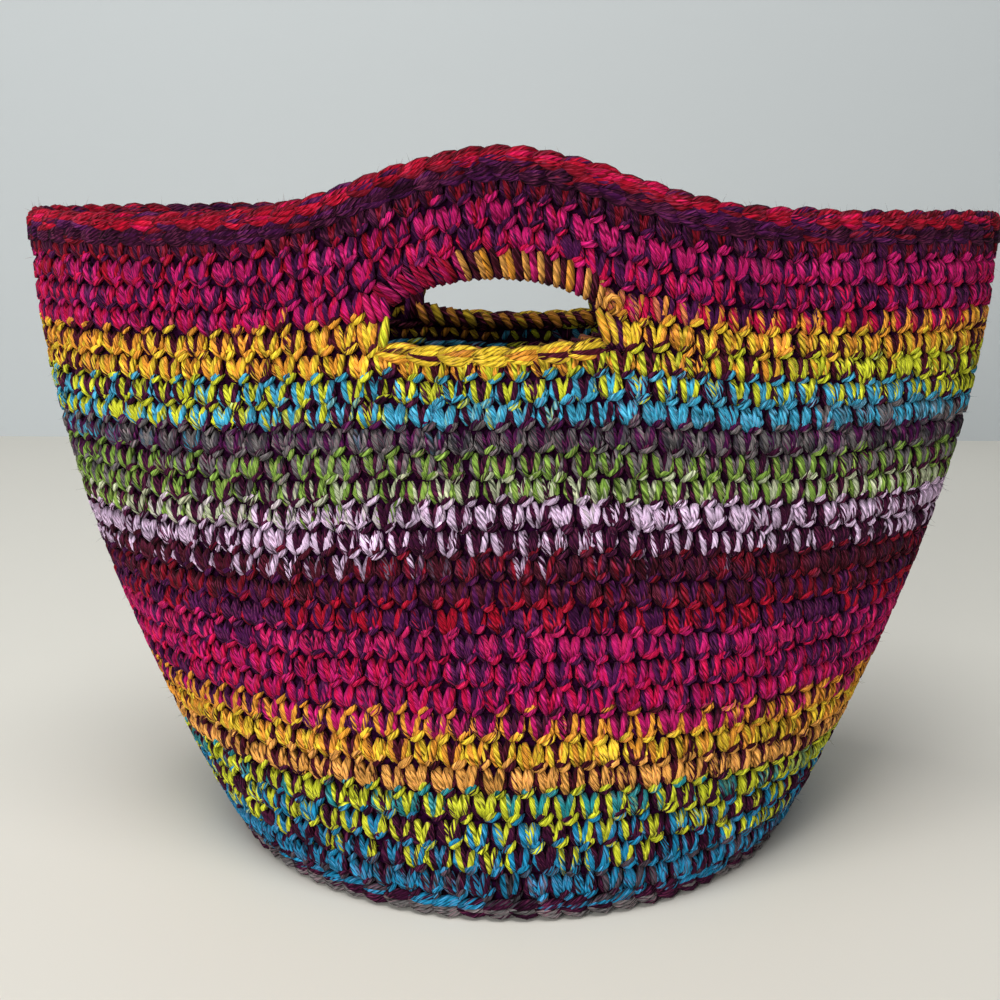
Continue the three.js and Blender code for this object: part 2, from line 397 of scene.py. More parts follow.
def spun_strands(path, thick, facing, dyes, section=FLAT_BACK):
    """Closed tubes along paths of points. Each ring lies across the path, with its radius there,
    between a first and a last point that close it. The dye is darkened with painted shade at the
    ends and sides, where yarn lies against yarn. Sizes: path (strands, points, 3), thick (strands,
    points - 2), facing (strands, 3), dyes (strands, 2, 3)."""
    count, points = path.shape[:2]
    rings = points - 2
    ahead = unit(np.gradient(path, axis=1))
    side = unit(np.cross(ahead, facing[:, None]))
    up = np.cross(side, ahead)
    circle = (side[:, 1:-1, None] * np.cos(section)[:, None]
              + up[:, 1:-1, None] * np.sin(section)[:, None])
    tube = path[:, 1:-1, None] + circle * thick[:, :, None, None]
    places = np.concatenate([path[:, :1], tube.reshape(count, -1, 3), path[:, -1:]], axis=1)
    corners, counts, ring_of, around = strand_faces(rings, section)
    step = np.linalg.norm(np.diff(path, axis=1), axis=-1)
    run = np.concatenate([np.zeros((count, 1)), np.cumsum(step, axis=1)], axis=1)
    girth = 2 * np.pi * thick.max(axis=1, keepdims=True)
    offset = TWIST_OFFSET * np.arange(count)[:, None] % TWIST_REPEAT
    along = (run / girth)[:, ring_of] + offset
    share = run / run[:, -1:]
    # Painted shade: the dye is darkened towards the ends and the sides of each strand, where yarn lies
    # against yarn
    ends = END_SHADE + (1 - END_SHADE) * np.sqrt(np.sin(np.pi * share))
    sides = SIDE_SHADE + (1 - SIDE_SHADE) * np.clip(np.sin(section), 0, 1)
    shade = (ends[:, 1:-1, None] * sides).reshape(count, -1)
    shade = np.concatenate([ends[:, :1], shade, ends[:, -1:]], axis=1)
    return {
        "places": places.reshape(-1, 3),
        "dyes": (dyes[:, None] * shade[..., None, None]).reshape(-1, 2, 3),
        "counts": np.tile(counts, count),
        "corners": (corners + places.shape[1] * np.arange(count)[:, None]).ravel(),
        "strand": np.repeat(np.arange(count), len(corners)),
        "along": along.ravel(),
        "around": np.tile(around, count),
        "share": share[:, ring_of].ravel(),
    }


def joined(batches):
    """All these strands together, with their corners and strands numbered through."""
    strands = {key: np.concatenate([batch[key] for batch in batches]) for key in batches[0]}
    for key, sizes in (("corners", [len(batch["places"]) for batch in batches]),
                       ("strand", [batch["strand"][-1] + 1 for batch in batches])):
        strands[key] += np.repeat(np.cumsum(sizes) - sizes, [len(batch[key]) for batch in batches])
    return strands


def lay_out(strands):
    """Map of all strands of a piece with a cell of its own for each: the way along a strand runs
    across its cell and the way around runs up it."""
    number = strands["strand"]
    total = number[-1] + 1
    columns = math.ceil(math.sqrt(total))
    rows = math.ceil(total / columns)
    inside = 1 - 2 * CELL_EDGE
    across = number % columns + CELL_EDGE + inside * strands["share"]
    up = number // columns + CELL_EDGE + inside * strands["around"]
    return np.stack([across / columns, up / rows], axis=-1)


def yarn_piece(name, batches, material):
    """One mesh object of all these strands, with the twist's map, the cells' map and the dye, which
    carries the painted shade.
    """
    strands = joined(batches)
    places, dyes, counts, corners = [strands[key] for key in ("places", "dyes", "counts", "corners")]
    twist = np.stack([strands["along"], strands["around"]], axis=-1)
    mesh = bpy.data.meshes.new(name)
    mesh.vertices.add(len(places))
    mesh.vertices.foreach_set("co", places.astype(np.float32).ravel())
    mesh.loops.add(len(corners))
    mesh.loops.foreach_set("vertex_index", corners.astype(np.int32))
    mesh.polygons.add(len(counts))
    mesh.polygons.foreach_set("loop_start", (np.cumsum(counts) - counts).astype(np.int32))
    mesh.polygons.foreach_set("use_smooth", np.ones(len(counts), dtype=bool))
    for map_name, spots in (("OFBake", lay_out(strands)), ("strand", twist)):
        mesh.uv_layers.new(name=map_name).data.foreach_set("uv", spots.astype(np.float32).ravel())
    for number, layer in enumerate(("dye", "ply_dye")):
        colour = np.column_stack([dyes[:, number], np.ones(len(dyes))]).astype(np.float32)
        dye_layer = mesh.color_attributes.new(layer, "FLOAT_COLOR", "POINT")
        dye_layer.data.foreach_set("color", colour.ravel())
    mesh.update(calc_edges=True)
    add_piece(name, mesh, material)


def add_piece(name, mesh, material):
    """Object of the bag: it rides on the bag's one body and stands for its solid."""
    mesh.materials.append(material)
    piece = bpy.data.objects.new(name, mesh)
    bpy.context.collection.objects.link(piece)
    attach(piece, "root")
    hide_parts("crochet_bag")


# Stitches

# Places along a strand, from its first to its last point, and its thickness at those between
SPOTS = np.array([0.0, 0.06, 0.32, 0.64, 0.93, 1.0])
LEG_SHAPE = np.array([1.05, 1.12, 1.0, 0.62])
BAR_SHAPE = np.array([0.7, 1.0, 1.0, 0.7])
CHAIN_SPOTS = np.array([0.0, 0.06, 0.25, 0.5, 0.75, 0.94, 1.0])
CHAIN_SHAPE = np.array([0.85, 1.08, 1.12, 1.0, 0.62])
SHORT_SPOTS = np.array([0.0, 0.12, 0.5, 0.88, 1.0])
SHORT_SHAPE = np.array([0.6, 1.0, 0.6])
PLAIN_SPOTS = np.array([0.0, 0.25, 0.75, 1.0])
PLAIN_SHAPE = np.array([1.0, 0.9])

# Ends of a stitch's strands in its cell, where u runs to the right and v runs up
LEFT_LEG = ((0.2, 1.0), (0.42, -0.03))
RIGHT_LEG = ((0.8, 1.0), (0.58, -0.03))
BAR = ((0.5, -0.04), (1.0, 0.36))
INNER_BUMP = ((-0.1, 0.62), (1.06, 0.72))
INNER_LEFT_LEG = ((0.5, 0.6), (0.1, -0.16))
INNER_RIGHT_LEG = ((0.52, 0.6), (0.92, -0.16))
LEG_BOW = 0.05
BUMP_BOW = 0.06
END_SLIP = 0.03
BAR_END_SLIP = 0.06
ASIDE_AT_ENDS = 0.35
CREST_POWER = 0.6

# Depths of a strand in millimetres at its head, crest and tail: those of the outer side from the
# outer face of the wall, and those of the inner side from the inner face
BAR_DEPTH = (-3.4, -0.5, -3.2)
BUMP_DEPTH = (3.4, 1.7, 3.4)
INNER_LEG_DEPTH = (3.6, 2.3, 3.6)

# Strands of a leg from the inner to the outer one: the way aside, the depth, the thickness and the
# places along it
LEG_STRANDS = (
    (-1, (-3.4, -0.9, -3.6), LEG_SHAPE, SPOTS),
    (0, (-3.5, -0.6, -3.6), LEG_SHAPE, SPOTS),
    (1, (-3.6, -1.3, -3.6), SHORT_SHAPE, SHORT_SPOTS))
BAR_STRAND = 0.95 * STRAND
BAR_GAP = 0.85 * MM

# How many rounds earlier the yarn of a bar was worked, and how many in the first round over a hole
BAR_EARLIER = 1.0
HANDLE_BAR_EARLIER = 0.2

# Rounds that the hand holes interrupt, and the first round over them
HOLE_ROUNDS = (HOLE_MIDDLE, HOLE_MIDDLE + 1)
FIRST_HANDLE_ROUND = HOLE_MIDDLE + 2


def round_of_stitches(level):
    """Left ends of the stitches of a round, as turns from -0.5 to 0.5, and the pitch, as a turn.
    Each round starts a little further round than the one below."""
    length = round_length(level)
    if level < 0:
        length = length * (1 - (-level - 1) / BASE_ROUNDS)
    count = max(FEWEST_STITCHES, round(length / STITCH_PITCH))
    start = (np.arange(count) - count // 2 + STITCH_SHIFT * level % 1) / count
    return start, np.full(count, 1 / count)


def swayed(stitches):
    """The same stitches, each a little off its place, as hand work is."""
    start, pitch, level = stitches
    sideways = chance.normal(0, STITCH_SWAY, len(start)) * pitch
    return start + sideways, pitch, level + chance.normal(0, STITCH_SWAY, len(start))


def wall_stitches(rounds):
    """Every stitch of these rounds: its left end, pitch and level. In the rounds that a hole
    interrupts, only the stitches beside it."""
    stitches = []
    for level in rounds:
        start, pitch = round_of_stitches(level)
        if level in HOLE_ROUNDS:
            clear = 1 + HOLE_CLEARANCE * pitch[0] / HOLE_TURN
            kept = np.abs(place_in_hole(start + pitch / 2)) > clear
            start, pitch = start[kept], pitch[kept]
        stitches.append((start, pitch, np.full(len(start), float(level))))
    return [np.concatenate(values) for values in zip(*stitches)]


def uneven_thickness(shape, radius, count):
    """Radius along each of these strands, every strand a little thicker or thinner than the next."""
    return shape * radius * np.exp(chance.normal(0, GIRTH_SPREAD, (count, 1)))


def cell_strand(stitches, ends, depth, shape, colour, bow=0.0, aside=0.0, radius=STRAND, spots=SPOTS,
                slip=END_SLIP):
    """One strand in every stitch, from its head to its tail in the stitch's cell. It is bowed
    sideways by a half sine wave and moved aside by a length, less so at its ends. Its depth goes
    from the ends to the crest by a half sine wave, to a power."""
    start, pitch, level = stitches
    count = len(start)
    head, tail = [np.array(end) + chance.normal(0, slip, (count, 2)) for end in ends]
    way = tail - head
    square = unit(np.stack([way[:, 1], -way[:, 0]], axis=1))
    wave = np.sin(np.pi * spots)
    beside = bow * wave + aside / ROUND_HEIGHT * (ASIDE_AT_ENDS + (1 - ASIDE_AT_ENDS) * wave)
    along = head[:, None] + way[:, None] * spots[:, None] + square[:, None] * beside[:, None]
    first, crest, last = depth
    end_depth = first + (last - first) * spots
    sunk = (end_depth + (crest - end_depth) * wave ** CREST_POWER) * MM
    sunk = sunk[None] + chance.normal(0, DEPTH_SWAY, (count, 1))
    sunk = sunk - FLOOR_GAP * np.clip(-level, 0, 1)[:, None]
    turn = start[:, None] + along[..., 0] * pitch[:, None]
    path = bag_skin(turn, level[:, None] + along[..., 1] - 0.5, sunk)
    facing = skin_facing(start + pitch / 2, level) * np.sign(pitch)[:, None]
    return spun_strands(path, uneven_thickness(shape, radius, count), facing, colour)


def outer_stitches(stitches, plain=False):
    """The V stitches of the outer side. Each leg is three strands beside each other, the outer one a
    little behind, and a slanting bar of two comes out of the round below at the foot of each V. The
    strands of the two legs mostly lie in the same order. Plain ones have one strand less in each."""
    stitches = swayed(stitches)
    start, pitch, level = stitches
    round_number = np.rint(level)
    position = round_number - (start + pitch / 2)
    left = yarn_dyes(position, round_number)
    same = chance.random(len(start)) < SAME_ORDER
    right = np.where(same[:, None, None, None], left, yarn_dyes(position, round_number))
    earlier = np.where(round_number == FIRST_HANDLE_ROUND, HANDLE_BAR_EARLIER, BAR_EARLIER)
    bar = yarn_dyes(position - earlier)
    leg_strands = LEG_STRANDS[:2] if plain else LEG_STRANDS
    bar_sides = (-1,) if plain else (-1, 1)
    batches = []
    for dyes, leg, way in ((left, LEFT_LEG, 1), (right, RIGHT_LEG, -1)):
        for number, (side, depth, shape, spots) in enumerate(leg_strands):
            batches.append(cell_strand(stitches, leg, depth, shape, dyes[:, number], way * LEG_BOW,
                                       way * side * STRAND_GAP, spots=spots))
    for number, side in enumerate(bar_sides):
        batches.append(cell_strand(stitches, BAR, BAR_DEPTH, BAR_SHAPE, bar[:, number], 0.0,
                                   side * BAR_GAP, BAR_STRAND, slip=BAR_END_SLIP))
    return batches


def inner_stitches(stitches, thickness=WALL_THICKNESS):
    """The wrong side of the stitches: a level bump at the top of each and two legs below it."""
    stitches = swayed(stitches)
    start, pitch, level = stitches
    # Painted shade: the dyes of the inner side are darkened, as the inside of the bag lies in shade
    dyes = yarn_dyes(np.rint(level) - (start + pitch / 2)) * INNER_SHADE
    turned = (start + pitch, -pitch, level)
    bump_depth = np.array(BUMP_DEPTH) - thickness / MM
    leg_depth = np.array(INNER_LEG_DEPTH) - thickness / MM
    batches = [cell_strand(turned, INNER_BUMP, bump_depth, BAR_SHAPE, dyes[:, 0], BUMP_BOW,
                           radius=INNER_STRAND)]
    for number, leg in ((1, INNER_LEFT_LEG), (2, INNER_RIGHT_LEG)):
        batches.append(cell_strand(turned, leg, leg_depth, PLAIN_SHAPE, dyes[:, number],
                                   radius=INNER_STRAND, spots=PLAIN_SPOTS))
    return batches


# Edges

# Links of a chain: their strands, where along a link its legs are widest apart, how far they close
# again, and their depths at the point, over the crest and under the next link
CHAIN_STRAND = 1.45 * MM
CHAIN_GAP = 0.85 * MM
CHAIN_GAP_AT_ENDS = 0.3
CHAIN_WIDEST = 0.6
CHAIN_CLOSING = 0.5
CHAIN_DEPTH = -0.9 * MM
CHAIN_CREST = 1 * MM
CHAIN_CREST_END = 0.8
CHAIN_DIVE = 1.6 * MM
CHAIN_SWAY = 0.2 * MM
LINK_START = -0.15
LINK_LENGTH = 1.45
LINK_SLIP = 0.04

# Chains of the rim: how far along they start, as a share of a link, how far they are raised and set
# out of the wall, how far they roll back, whether they face the inside, and their dyes with shares
RIM_CHAIN_HEIGHT = 1.7 * MM
RIM_CHAINS = (
    (0.0, 1.5 * MM, 0.3 * MM, 0.9, False),
    (0.5, -4.2 * MM, 0.0 * MM, 0.0, False),
    (0.0, 1.3 * MM, -WALL_THICKNESS - 0.1 * MM, 0.9, True),
    (0.5, -4.2 * MM, -WALL_THICKNESS + 0.4 * MM, 0.0, True))
RIM_MIXES = (
    ((CRIMSON, 0.44), (ROSE, 0.1), (DARK_RED, 0.3), (PURPLE, 0.16)),
    ((PLUM, 0.62), (PURPLE, 0.26), (DARK_RED, 0.12)),
    ((DARK_RED, 0.34), (PLUM, 0.36), (CRIMSON, 0.14), (PURPLE, 0.16)),
    ((PLUM, 0.5), (PURPLE, 0.3), (DARK_RED, 0.2)))

# Chain of the base
BASE_CHAIN_HEIGHT = 1.9 * MM
BASE_CHAIN_LIFT = 1.8 * MM
BASE_CHAIN_OUT = -1.2 * MM
BASE_UPPER_MIX = ((BLUE, 0.46), (PLUM, 0.42), (SLATE, 0.12))
BASE_LOWER_MIX = ((GREY, 0.66), (PLUM, 0.34))

# Chain on the lower edge of a hole
LEDGE_LINKS = 7
LEDGE_STRAND = 1.42 * MM
LEDGE_HEIGHT = 1.9 * MM
LEDGE_LIFT = 0.3 * MM
LEDGE_OUT = -0.1 * MM
LEDGE_ROLL = 0.8
LEDGE_MIX = ((YELLOW, 0.58), (ORANGE, 0.2), (MAROON, 0.22))

# Rope on the inner side of a hole's lower edge: points of each strand along, up and out
ROPE_COUNT = 22
ROPE_SLIP = 0.01
ROPE_STRAND = 2.3 * MM
DARK_ROPE_STRAND = 0.8
ROPE_RISE = 4.5 * MM
ROPE_ALONG = np.array([4.0, 3.4, 1.6, -0.8, -3.0, -4.0]) * MM
ROPE_UP = np.array([0.4, 1.6, 1.8, -0.2, -3.2, -4.6]) * MM
ROPE_OUT = np.array([-2.8, -3.8, -5.4, -6.6, -6.4, -5.2]) * MM
ROPE_MIX = ((YELLOW, 0.2), (ORANGE, 0.8))

# Strands behind the ends of a hole, on its inner side: how far past the end, and points up and out
END_POSTS = np.array([0.4, 3.4, 6.4]) * MM
END_POST_UP = np.array([-3.0, -1.0, 6.0, 13.0, 19.0, 21.0]) * MM
END_POST_OUT = np.array([-4.6, -5.6, -5.4, -5.4, -5.6, -4.6]) * MM
END_POST_MIX = ((MAGENTA, 0.3), (PURPLE, 0.3), (MAROON, 0.4))

# Wraps of the handle: their number, and the way of each from the front over the edge to the back
WRAP_COUNT = 30
WRAP_END = 0.97
WRAP_SLIP = 0.008
WRAP_STRAND = 1.6 * MM
WRAP_LEAN = -1.6 * MM
WRAP_FAN = 2.4 * MM
HANDLE_LEVEL = HOLE_TOP + 0.5
WRAP_LEVELS = np.array([23.75, 23.6, 23.15, 22.75, 22.5, 22.75, 23.15, 23.6])
WRAP_OUT = np.array([-3.6, -1.6, -0.9, -1.4, -3.5, -5.6, -6.2, -4.2]) * MM
WRAP_LIFT = np.array([0.0, 0.0, 0.0, 0.1, 0.4, 0.1, 0.0, 0.0]) * MM
WRAP_ACROSS = np.array([1.3, 1.0, 0.2, -0.6, -0.9, -0.6, 0.2, 1.0])
WRAP_SHAPE = np.array([0.75, 1.0, 1.0, 0.92, 1.0, 0.9])
WRAP_MIX = ((ROSE, 0.45), (MAGENTA, 0.3), (CRIMSON, 0.15), (PURPLE, 0.1))

# The wraps that end the row at the right, and the painted light on them: how far the two dyes of
# each are brightened
WRAP_GOLDS = np.array([
    PEACH, MAROON, PEACH, ORANGE, MAROON, PEACH, ORANGE, MAROON, PEACH, MAGENTA, PEACH, MAROON,
    PEACH, MAROON, ORANGE, MAGENTA, PEACH, MAROON, PEACH])
WRAP_GOLD_PAINTED_LIGHT = np.array([1.25, 1.05])

# Strands that close the ends of a hole: the end, the radius, the thickness along it, the two dyes,
# and the points, each in millimetres along from the end, up from the lower edge and out of the wall
POST_SHAPE = (0.8, 1.0, 1.0, 0.85)
HOLE_CORNERS = (
    (-1, 1.7, POST_SHAPE, (MAGENTA, PINK), (
        (-5.6, 23, -2.8), (-5.2, 21.4, -1.3), (-4.4, 18.6, -0.8),
        (-3.2, 15, -0.8), (-2.0, 12, -1.4), (-1.4, 10.4, -3.0))),
    (-1, 1.8, POST_SHAPE, (ROSE, MAGENTA), (
        (-2.4, 23.4, -3.0), (-2.0, 21.8, -1.6), (-1.2, 18.8, -1.1),
        (0, 15.4, -1.1), (1.0, 12.6, -1.7), (1.4, 11, -3.2))),
    (-1, 1.8, POST_SHAPE, (PURPLE, MAGENTA), (
        (1.2, 22, -3.2), (1.5, 20.6, -2.2), (2.0, 18, -1.9),
        (2.6, 15.4, -2.0), (3.1, 13.4, -2.4), (3.3, 12.4, -3.4))),
    (-1, 2.1, (0.9, 1.0, 0.75, 0.35), (YELLOW, LIME), (
        (0.6, 1, -2.6), (1.2, 3, -1.0), (2.0, 7, -0.5),
        (2.6, 11, -0.9), (3.0, 14.5, -1.6), (3.1, 16, -2.4))),
    (-1, 2.2, POST_SHAPE, (PLUM, PLUM), (
        (-1.2, -2, -3.6), (-0.8, 1, -3.0), (0, 5, -2.8),
        (1, 9, -3.0), (1.4, 12, -3.2), (1.5, 14, -3.6))),
    (1, 1.8, POST_SHAPE, (YELLOW, ORANGE), (
        (1.6, 1, -2.6), (1.2, 3, -1.0), (0.2, 7, -0.5),
        (-1.2, 11, -0.7), (-2.2, 14.5, -1.4), (-2.0, 16.5, -3.0))),
    (1, 1.6, POST_SHAPE, (PEACH, YELLOW), (
        (5.0, 1, -2.6), (4.6, 3, -1.0), (3.8, 7, -0.6),
        (2.4, 10.5, -0.6), (1.2, 13.5, -1.2), (1.0, 15, -2.8))),
    (1, 2.4, POST_SHAPE, (PLUM, PLUM), (
        (2.6, -2, -3.8), (2.4, 1, -3.2), (1.6, 5, -3.0),
        (1.0, 9, -3.2), (0.6, 13, -3.4), (0.4, 15, -3.8))),
    (1, 2.0, POST_SHAPE, (PLUM, PURPLE), (
        (6.6, -2, -3.4), (6.4, 1, -2.2), (6.0, 5, -1.9),
        (5.4, 9, -2.1), (5.0, 12, -2.6), (5.0, 14, -3.6))),
    (1, 1.45, (0.8, 1.0, 1.0, 1.0, 1.0, 1.0, 0.9), (ORANGE, PEACH), (
        (0.2, 14.4, -2.4), (-0.4, 16.2, -0.6), (0.2, 18.8, 0.2),
        (2.2, 20.2, 0.3), (4.4, 19.4, 0.1), (5.2, 17.2, -0.2),
        (4.4, 15.0, -0.4), (2.4, 14.0, -0.6), (0.6, 14.6, -1.6))))


def edge_chain(start, pitch, level, raised, out, height, dyes, roll=0.0, inward=False,
               strand=CHAIN_STRAND):
    """A chain along an edge. Each link is a V on its side: from its point, an upper and a lower leg
    spread apart by a quarter sine wave and go under the next link. Each leg is two strands. The
    upper part rolls back over the edge, and an inward chain faces the inside of the bag."""
    count = len(start)
    spots = CHAIN_SPOTS
    late = np.clip(spots - CHAIN_WIDEST, 0, 1) / (1 - CHAIN_WIDEST)
    spread = np.sin(np.pi / 2 * np.minimum(spots / CHAIN_WIDEST, 1)) * (1 - CHAIN_CLOSING * late ** 2)
    crest = np.sin(np.pi * np.minimum(spots / CHAIN_CREST_END, 1))
    sunk = CHAIN_DEPTH + CHAIN_CREST * crest - CHAIN_DIVE * late
    gap = CHAIN_GAP * (CHAIN_GAP_AT_ENDS + (1 - CHAIN_GAP_AT_ENDS) * np.sin(np.pi * spots))
    away = -1.0 if inward else 1.0
    facing = skin_facing(start + pitch / 2, level) * away
    batches = []
    for number, (way, beside) in enumerate(((1, -1), (1, 1), (-1, -1), (-1, 1))):
        lift = way * height * spread + beside * gap
        lift = lift[None] + chance.normal(0, CHAIN_SWAY, (count, 1))
        over = roll * np.clip(lift + height, 0, None) ** 2 / (4 * height)
        along = LINK_START + LINK_LENGTH * spots + chance.normal(0, LINK_SLIP, (count, 1))
        turn = start[:, None] + pitch[:, None] * along
        path = bag_skin(turn, level, out + away * (sunk - over), raised + lift)
        thick = uneven_thickness(CHAIN_SHAPE, strand, count)
        batches.append(spun_strands(path, thick, facing, dyes[:, number], ALL_ROUND))
    return batches


def rim_edging():
    """Edging of the rim: a crimson chain along the top, a plum chain under it, and their inner
    sides."""
    start, pitch = round_of_stitches(RIM_ROUND)
    dyes = [mixed_dyes(len(start), mix) for mix in RIM_MIXES]
    batches = []
    for chain_dyes, (shift, raised, out, roll, inward) in zip(dyes, RIM_CHAINS):
        batches += edge_chain(start + shift * pitch, pitch, RIM_ROUND, raised, out, RIM_CHAIN_HEIGHT,
                              chain_dyes, roll, inward)
    return batches


def base_edging():
    """Chain along the edge of the base, where the first round turns up, grey along its lower side."""
    start, pitch = round_of_stitches(0)
    upper = mixed_dyes(len(start), BASE_UPPER_MIX, 2)
    lower = mixed_dyes(len(start), BASE_LOWER_MIX, 2)
    dyes = np.concatenate([upper, lower], axis=1)
    return edge_chain(start, pitch, 0, BASE_CHAIN_LIFT, BASE_CHAIN_OUT, BASE_CHAIN_HEIGHT, dyes)


def handle_wraps(middle):
    """Stitches worked over the chain above a hand hole: strands that come down the front of the
    handle, pass under its lower edge and go up behind it. They fan out towards the left end."""
    place = np.linspace(-WRAP_END, WRAP_END, WRAP_COUNT) + chance.normal(0, WRAP_SLIP, WRAP_COUNT)
    turn = middle + place * HOLE_TURN / 2
    dyes = mixed_dyes(WRAP_COUNT, WRAP_MIX, 1)[:, 0]
    # Painted light: the gold wraps' dyes are brightened, as the front of the handle is lit
    dyes[-len(WRAP_GOLDS):] = WRAP_GOLDS[:, None] * WRAP_GOLD_PAINTED_LIGHT[:, None]
    sideways = np.cross(skin_facing(turn, HANDLE_LEVEL), UPWARDS)
    lean = (WRAP_LEAN + WRAP_FAN * place) / round_length(HOLE_TOP)
    across = turn[:, None] + lean[:, None] * WRAP_ACROSS
    out = WRAP_OUT + chance.normal(0, DEPTH_SWAY, (WRAP_COUNT, 1))
    path = bag_skin(across, WRAP_LEVELS, out, WRAP_LIFT)
    thick = uneven_thickness(WRAP_SHAPE, WRAP_STRAND, WRAP_COUNT)
    return [spun_strands(path, thick, sideways, dyes, ALL_ROUND)]


def hole_ledge(middle):
    """Chain that lies along the lower edge of a hand hole."""
    step = HOLE_TURN / LEDGE_LINKS
    start = middle - HOLE_TURN / 2 + step * np.arange(LEDGE_LINKS)
    pitch = np.full(LEDGE_LINKS, step)
    golds = mixed_dyes(LEDGE_LINKS, LEDGE_MIX)
    return edge_chain(start, pitch, HOLE_BOTTOM, LEDGE_LIFT, LEDGE_OUT, LEDGE_HEIGHT, golds, LEDGE_ROLL,
                      strand=LEDGE_STRAND)


def hole_rope(middle):
    """Inner side of the lower edge of a hand hole: slanting strands that come over the edge, every
    second one thin and dark, and all of them darkened with painted shade. They stand higher towards
    one end, by the square of the way there."""
    place = np.linspace(-1.0, 1.0, ROPE_COUNT) + chance.normal(0, ROPE_SLIP, ROPE_COUNT)
    turn = middle + place * HOLE_TURN / 2
    # Painted shade: the rope's dyes are darkened, as it lies in the shade inside the hole
    dyes = mixed_dyes(ROPE_COUNT, ROPE_MIX, 1)[:, 0] * ROPE_SHADE
    dyes[::2] = MAROON * ROPE_SHADE
    across = turn[:, None] + ROPE_ALONG / round_length(HOLE_MIDDLE)
    rise = ROPE_RISE * np.clip(place, 0, 1)[:, None] ** 2 * np.clip(ROPE_UP / ROPE_UP.max(), 0, 1)
    path = bag_skin(across, HOLE_BOTTOM, ROPE_OUT, ROPE_UP + rise)
    facing = -skin_facing(turn, HOLE_BOTTOM)
    thick = uneven_thickness(BAR_SHAPE, ROPE_STRAND, ROPE_COUNT)
    thick[::2] *= DARK_ROPE_STRAND
    return [spun_strands(path, thick, facing, dyes, ALL_ROUND)]


def hole_posts(middle):
    """Upright strands behind both ends of a hand hole, on the inner side."""
    shift = np.concatenate([-HOLE_WIDTH / 2 - END_POSTS, HOLE_WIDTH / 2 + END_POSTS])
    turn = middle + shift / round_length(HOLE_MIDDLE)
    count = len(turn)
    dyes = mixed_dyes(count, END_POST_MIX, 1)[:, 0]
    path = bag_skin(turn[:, None], HOLE_BOTTOM, END_POST_OUT, END_POST_UP)
    facing = -skin_facing(turn, HOLE_BOTTOM)
    thick = uneven_thickness(BAR_SHAPE, ROPE_STRAND, count)
    return [spun_strands(path, thick, facing, dyes, ALL_ROUND)]


def hole_corners(middle):
    """Strands that close the two ends of a hand hole, each along its own points."""
    batches = []
    for end, radius, shape, dyes, points in HOLE_CORNERS:
        along, up, out = np.array(points).T * MM
        turn = middle + end * HOLE_TURN / 2
        path = bag_skin(turn + along / round_length(HOLE_MIDDLE), HOLE_BOTTOM, out, up)[None]
        facing = skin_facing(np.array([turn]), HOLE_BOTTOM)
        thick = np.array(shape)[None] * radius * MM
        batches.append(spun_strands(path, thick, facing, np.array(dyes)[None], ALL_ROUND))
    return batches


# Stray hairs of the yarn

WALL_HAIRS = 3000
RIM_HAIRS = 900
HAIR = 0.06 * MM
HAIR_LENGTH = 3.2 * MM
SHORTEST_HAIR = 0.4
LONGEST_HAIR = 1.2
HAIR_STAND = 0.7
HAIR_BEND = 0.3
HAIR_SPOTS = np.array([0.0, 0.45, 1.0])
HAIR_ROOT = -1.2 * MM
LOWEST_HAIRS = 1
CLEAR_OF_HOLE = 1.1
RIM_HAIR_LIFT = 2.6 * MM
RIM_HAIR_BACK = 5.0 * MM
RIM_HAIR_MIX = ((CRIMSON, 0.5), (ROSE, 0.3), (PURPLE, 0.2))


def stray_hairs(root, facing, dyes):
    """Single fibres that stand out of the yarn: thin spindles in a chance direction, partly outwards,
    each bent by the square of the way along it."""
    count = len(root)
    way = unit(chance.normal(0, 1, (count, 3))) + HAIR_STAND * facing
    bend = chance.normal(0, HAIR_BEND, (count, 3))
    length = HAIR_LENGTH * chance.uniform(SHORTEST_HAIR, LONGEST_HAIR, (count, 1, 1))
    spots = HAIR_SPOTS[:, None]
    path = root[:, None] + length * (way[:, None] * spots + bend[:, None] * spots ** 2)
    return spun_strands(path, np.full((count, 1), HAIR), bend, dyes, THREE_SIDED)


def wall_hairs():
    """Hairs all over the wall, except across the hand holes."""
    turn = chance.uniform(-0.5, 0.5, WALL_HAIRS)
    level = chance.uniform(LOWEST_HAIRS, RIM_ROUND, WALL_HAIRS)
    in_hole = (np.abs(level - HOLE_MIDDLE) < 1) & (np.abs(place_in_hole(turn)) < CLEAR_OF_HOLE)
    turn, level = turn[~in_hole], level[~in_hole]
    dyes = yarn_dyes(np.rint(level) - turn)[:, 1]
    return stray_hairs(bag_skin(turn, level, HAIR_ROOT), skin_facing(turn, level), dyes)


def rim_hairs():
    """Hairs along the top of the rim."""
    turn = chance.uniform(-0.5, 0.5, RIM_HAIRS)
    back = chance.uniform(-RIM_HAIR_BACK, 0, RIM_HAIRS)
    root = bag_skin(turn, RIM_ROUND, back, RIM_HAIR_LIFT)
    dyes = mixed_dyes(RIM_HAIRS, RIM_HAIR_MIX, 1)[:, 0]
    return stray_hairs(root, UPWARDS, dyes)


# Core of the wall

CORE_OUTER = -2.6 * MM
CORE_INNER = -4.9 * MM
CORE_RIM_RISE = 2.4 * MM
CORE_HOLE_COLUMNS = 16
CORE_SIDE_COLUMNS = 36
# Painted shade: plum and purple darkened, as the yarn deep in the wall lies in shade
CORE_SHADED_PLUM = PLUM * 0.12
CORE_SHADED_PURPLE = PURPLE * 0.5


